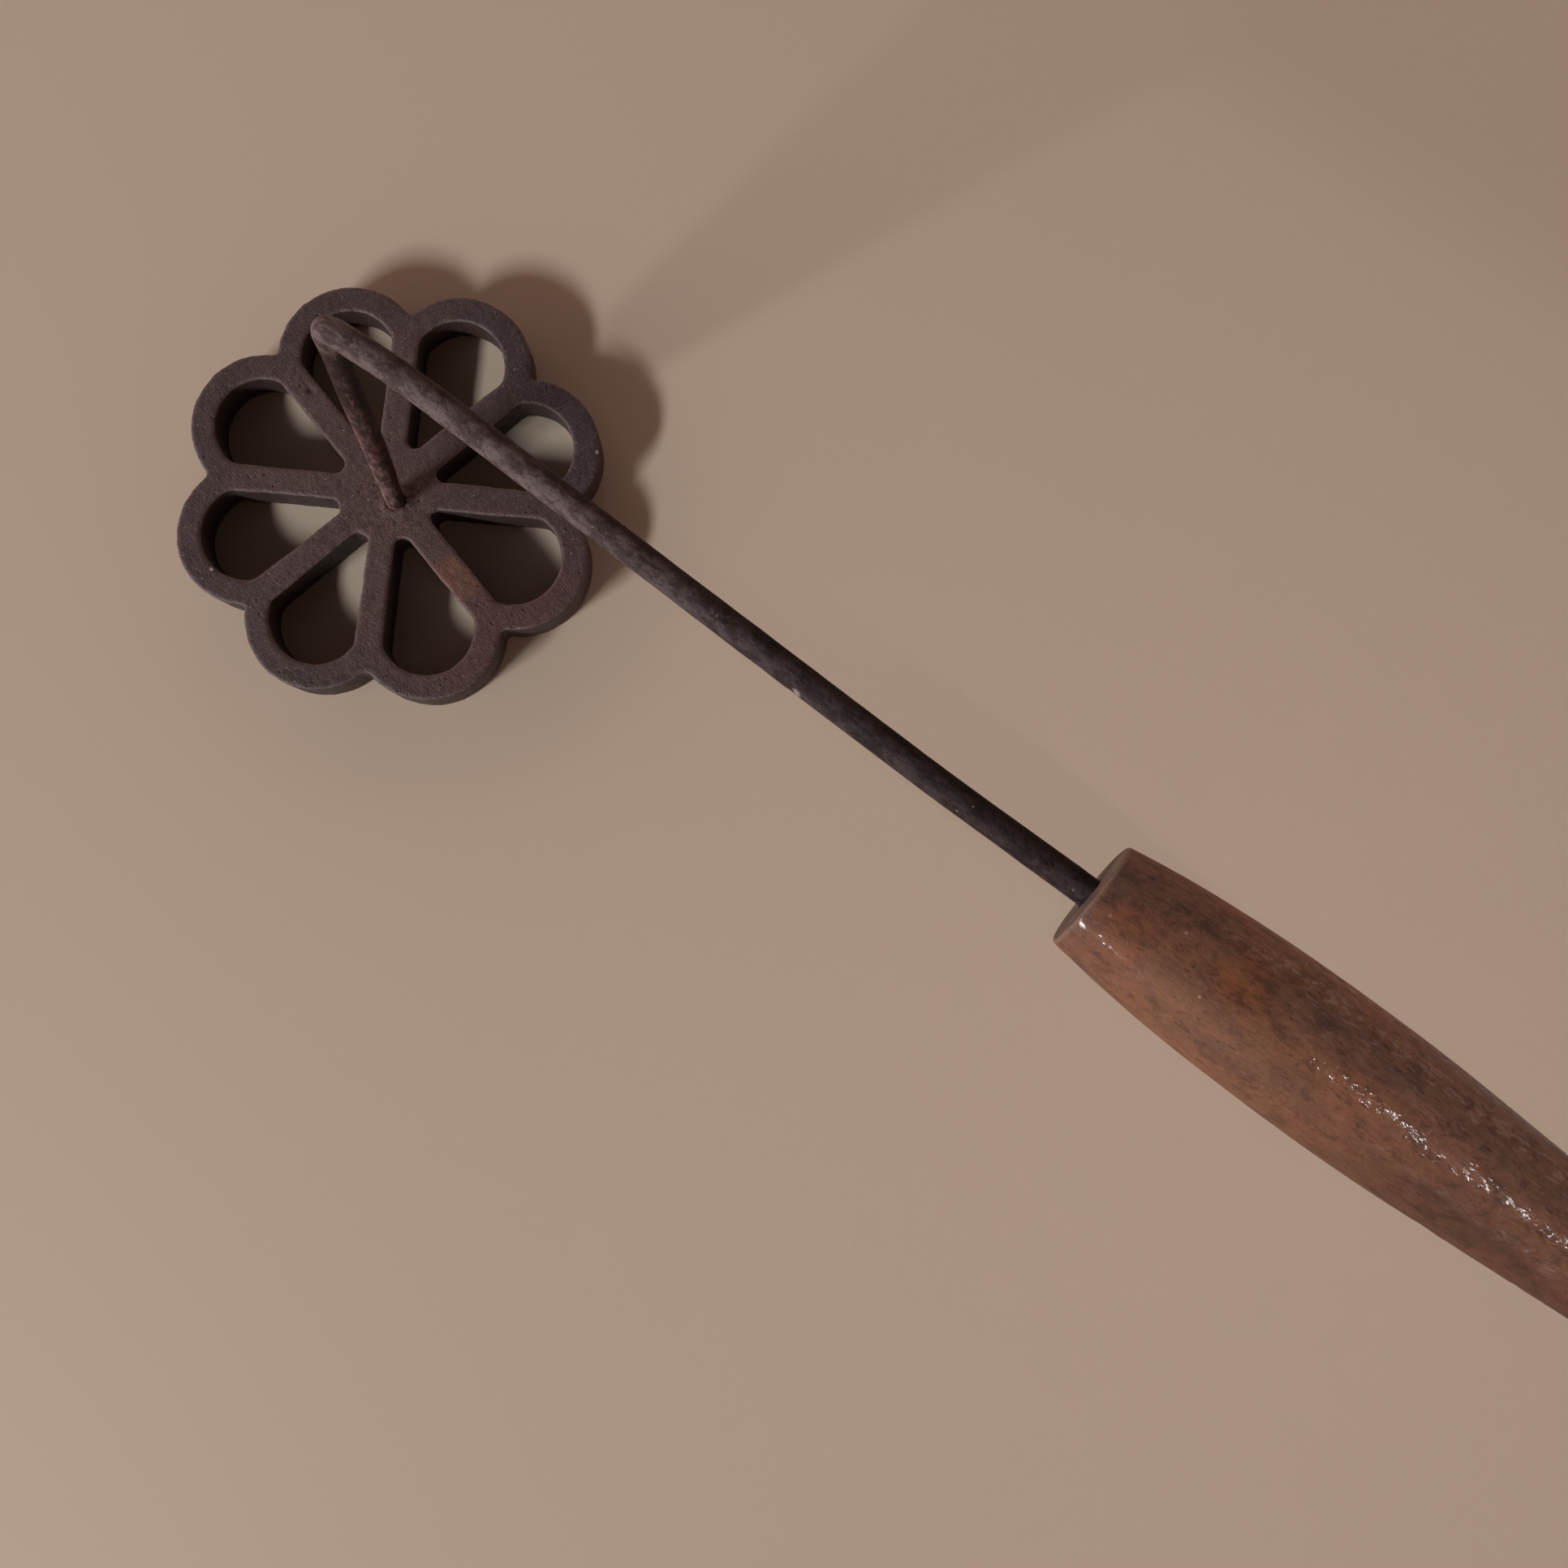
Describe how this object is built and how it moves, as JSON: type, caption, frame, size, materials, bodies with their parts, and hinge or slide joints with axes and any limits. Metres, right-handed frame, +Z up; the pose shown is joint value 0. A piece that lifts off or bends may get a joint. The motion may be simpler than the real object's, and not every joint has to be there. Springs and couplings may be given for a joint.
{
  "type": "rosette iron",
  "caption": "Scalloped cast head of teardrop petals on a bent steel rod with a turned wooden handle, dipped in batter and hot oil to fry rosettes.",
  "frame": {"origin": "centre of the head's underside, the face that the iron stands on", "axes": "+Z up through the head, +X level along the arm towards the handle"},
  "size_m": [0.2986, 0.091, 0.1291],
  "materials": {
    "cast_head": "sandy as-cast iron, browned by old oil, with a little rust",
    "steel_rod": "dark weathered steel with a brighter worn side",
    "varnished_wood": "reddish brown varnish, worn, over fine-pored hardwood"
  },
  "bodies": {
    "root": {"rosette_head": "cast_head", "rod": "steel_rod", "handle": "varnished_wood"}
  },
  "joints": []
}
